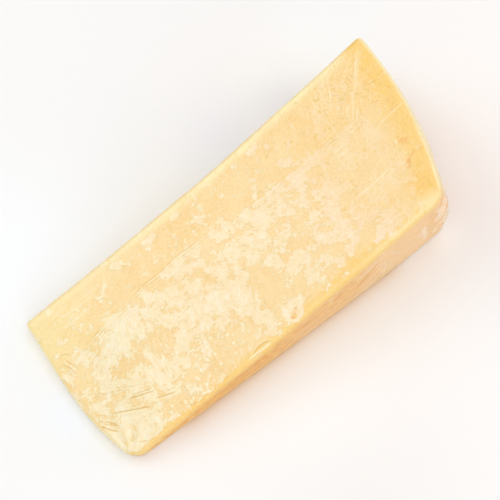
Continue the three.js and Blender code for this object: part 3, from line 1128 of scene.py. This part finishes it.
# Painted warm shade on the floor at the near foot: the contact shadow, warmed by light that has passed
# through the cheese. Colour, fall-off per millimetre, and where along the wedge it starts and ends
PAINTED_FOOT_SHADE = (0.87, 0.7, 0.52, 1)
PAINTED_FOOT_SHADE_FADE = 0.31
PAINTED_FOOT_SHADE_START = (45, 62)
PAINTED_FOOT_SHADE_END = (170, 188)
FLOOR_WHITES = ((0.91, 0.91, 0.905, 1), (0.92, 0.92, 0.915, 1))
FLOOR_CORNERS = ((-3, -3, 0), (3, -3, 0), (3, 3, 0), (-3, 3, 0))
SURROUND = 0.63
LAMPS = (
    # name, place, side in metres, watts, colour
    ("overhead_panel", (0.05, 0.0, 1.8), 2.6, 15.9, (1.0, 1.0, 1.0)),
    ("left_panel", (-0.75, 1.0, 1.2), 1.0, 2.7, (0.97, 1.0, 1.0)),
    ("near_panel", (-0.6, -1.25, 0.55), 1.0, 3.4, (0.97, 1.0, 0.97)),
    ("heel_panel", (1.1, -0.45, 0.4), 0.7, 2.1, (1.0, 0.62, 0.64)),
)


def floor_material():
    """Nearly white, with painted shadows and pools of light as bells, and the painted warm shade falling off
    exponentially from the near foot.
    """
    material, start, place = new_material("white_sweep")
    tone = place.noise(900, 1).rise(0.3, 0.7).blend(*FLOOR_WHITES)
    # painted shadows and pools of light, each a bell round its centre
    for x, y, radius, colour in FLOOR_PAINTED_SHADOWS_AND_LIGHT:
        ends = {0: place, 1: (x, y, 0)}
        distance = start.add("ShaderNodeVectorMath", {"operation": "DISTANCE"}, ends, out="Value")
        tone = distance.bell(0, radius).blend(tone, colour)
    along = place.axis("X") - AXIS_X
    beyond = NEAR_Y - place.axis("Y")
    near_foot = start.math("EXPONENT", start.math("ABSOLUTE", beyond) * -PAINTED_FOOT_SHADE_FADE)
    beside = along.rise(*PAINTED_FOOT_SHADE_START) * (1 - along.rise(*PAINTED_FOOT_SHADE_END))
    # painted warm shade along the near foot
    tone = (near_foot * beside).darken(tone, PAINTED_FOOT_SHADE)
    values = {"Base Color": tone, "Roughness": 0.7, "Specular IOR Level": 0.2}
    finish_material(start, start.add("ShaderNodeBsdfPrincipled", {}, values))
    return material


def make_stage():
    """A wide pale floor and a pale surround."""
    mesh = bpy.data.meshes.new("floor")
    mesh.from_pydata(FLOOR_CORNERS, [], [(0, 1, 2, 3)])
    mesh.materials.append(floor_material())
    floor = new_object("floor", mesh)
    world = bpy.data.worlds.new("surround")
    world.use_nodes = True
    inputs = world.node_tree.nodes["Background"].inputs
    inputs["Color"].default_value = (1, 1, 1, 1)
    inputs["Strength"].default_value = SURROUND
    scene.world = world


def make_lamps():
    """Square panels that look at the wedge."""
    for name, place, side, watts, colour in LAMPS:
        light = bpy.data.lights.new(name, "AREA")
        light.size = side
        light.energy = watts
        light.color = colour
        lamp = new_object(name, light)
        lamp.location = place
        lamp.rotation_mode = "QUATERNION"
        lamp.rotation_quaternion = (-Vector(place)).to_track_quat("-Z", "Y")


CAMERA_TARGET = Vector((AXIS_X + 124.1, NEAR_Y + 42.1, 25.0)) / METRE
CAMERA_ELEVATION = np.radians(73.385)
CAMERA_AZIMUTH = np.radians(-37.619)
CAMERA_ROLL = np.radians(0.116)
CAMERA_DISTANCE = 0.8967
SENSOR = 36.0
LENS = 142.37


def make_camera():
    """A long lens that looks down on the wedge from the near side."""
    level = np.cos(CAMERA_ELEVATION)
    back = Vector((
        np.sin(CAMERA_AZIMUTH) * level,
        -np.cos(CAMERA_AZIMUTH) * level,
        np.sin(CAMERA_ELEVATION),
    ))
    data = bpy.data.cameras.new("camera")
    data.sensor_width = SENSOR
    data.lens = LENS
    camera = new_object("camera", data)
    camera.location = CAMERA_TARGET + back * CAMERA_DISTANCE
    camera.rotation_mode = "QUATERNION"
    aim = (-back).to_track_quat("-Z", "Y")
    camera.rotation_quaternion = aim @ Quaternion((0, 0, 1), CAMERA_ROLL)
    scene.camera = camera


make_cheese()
make_wrap()
make_overlap()
make_stage()
make_lamps()
make_camera()
scene.view_settings.view_transform = "Standard"
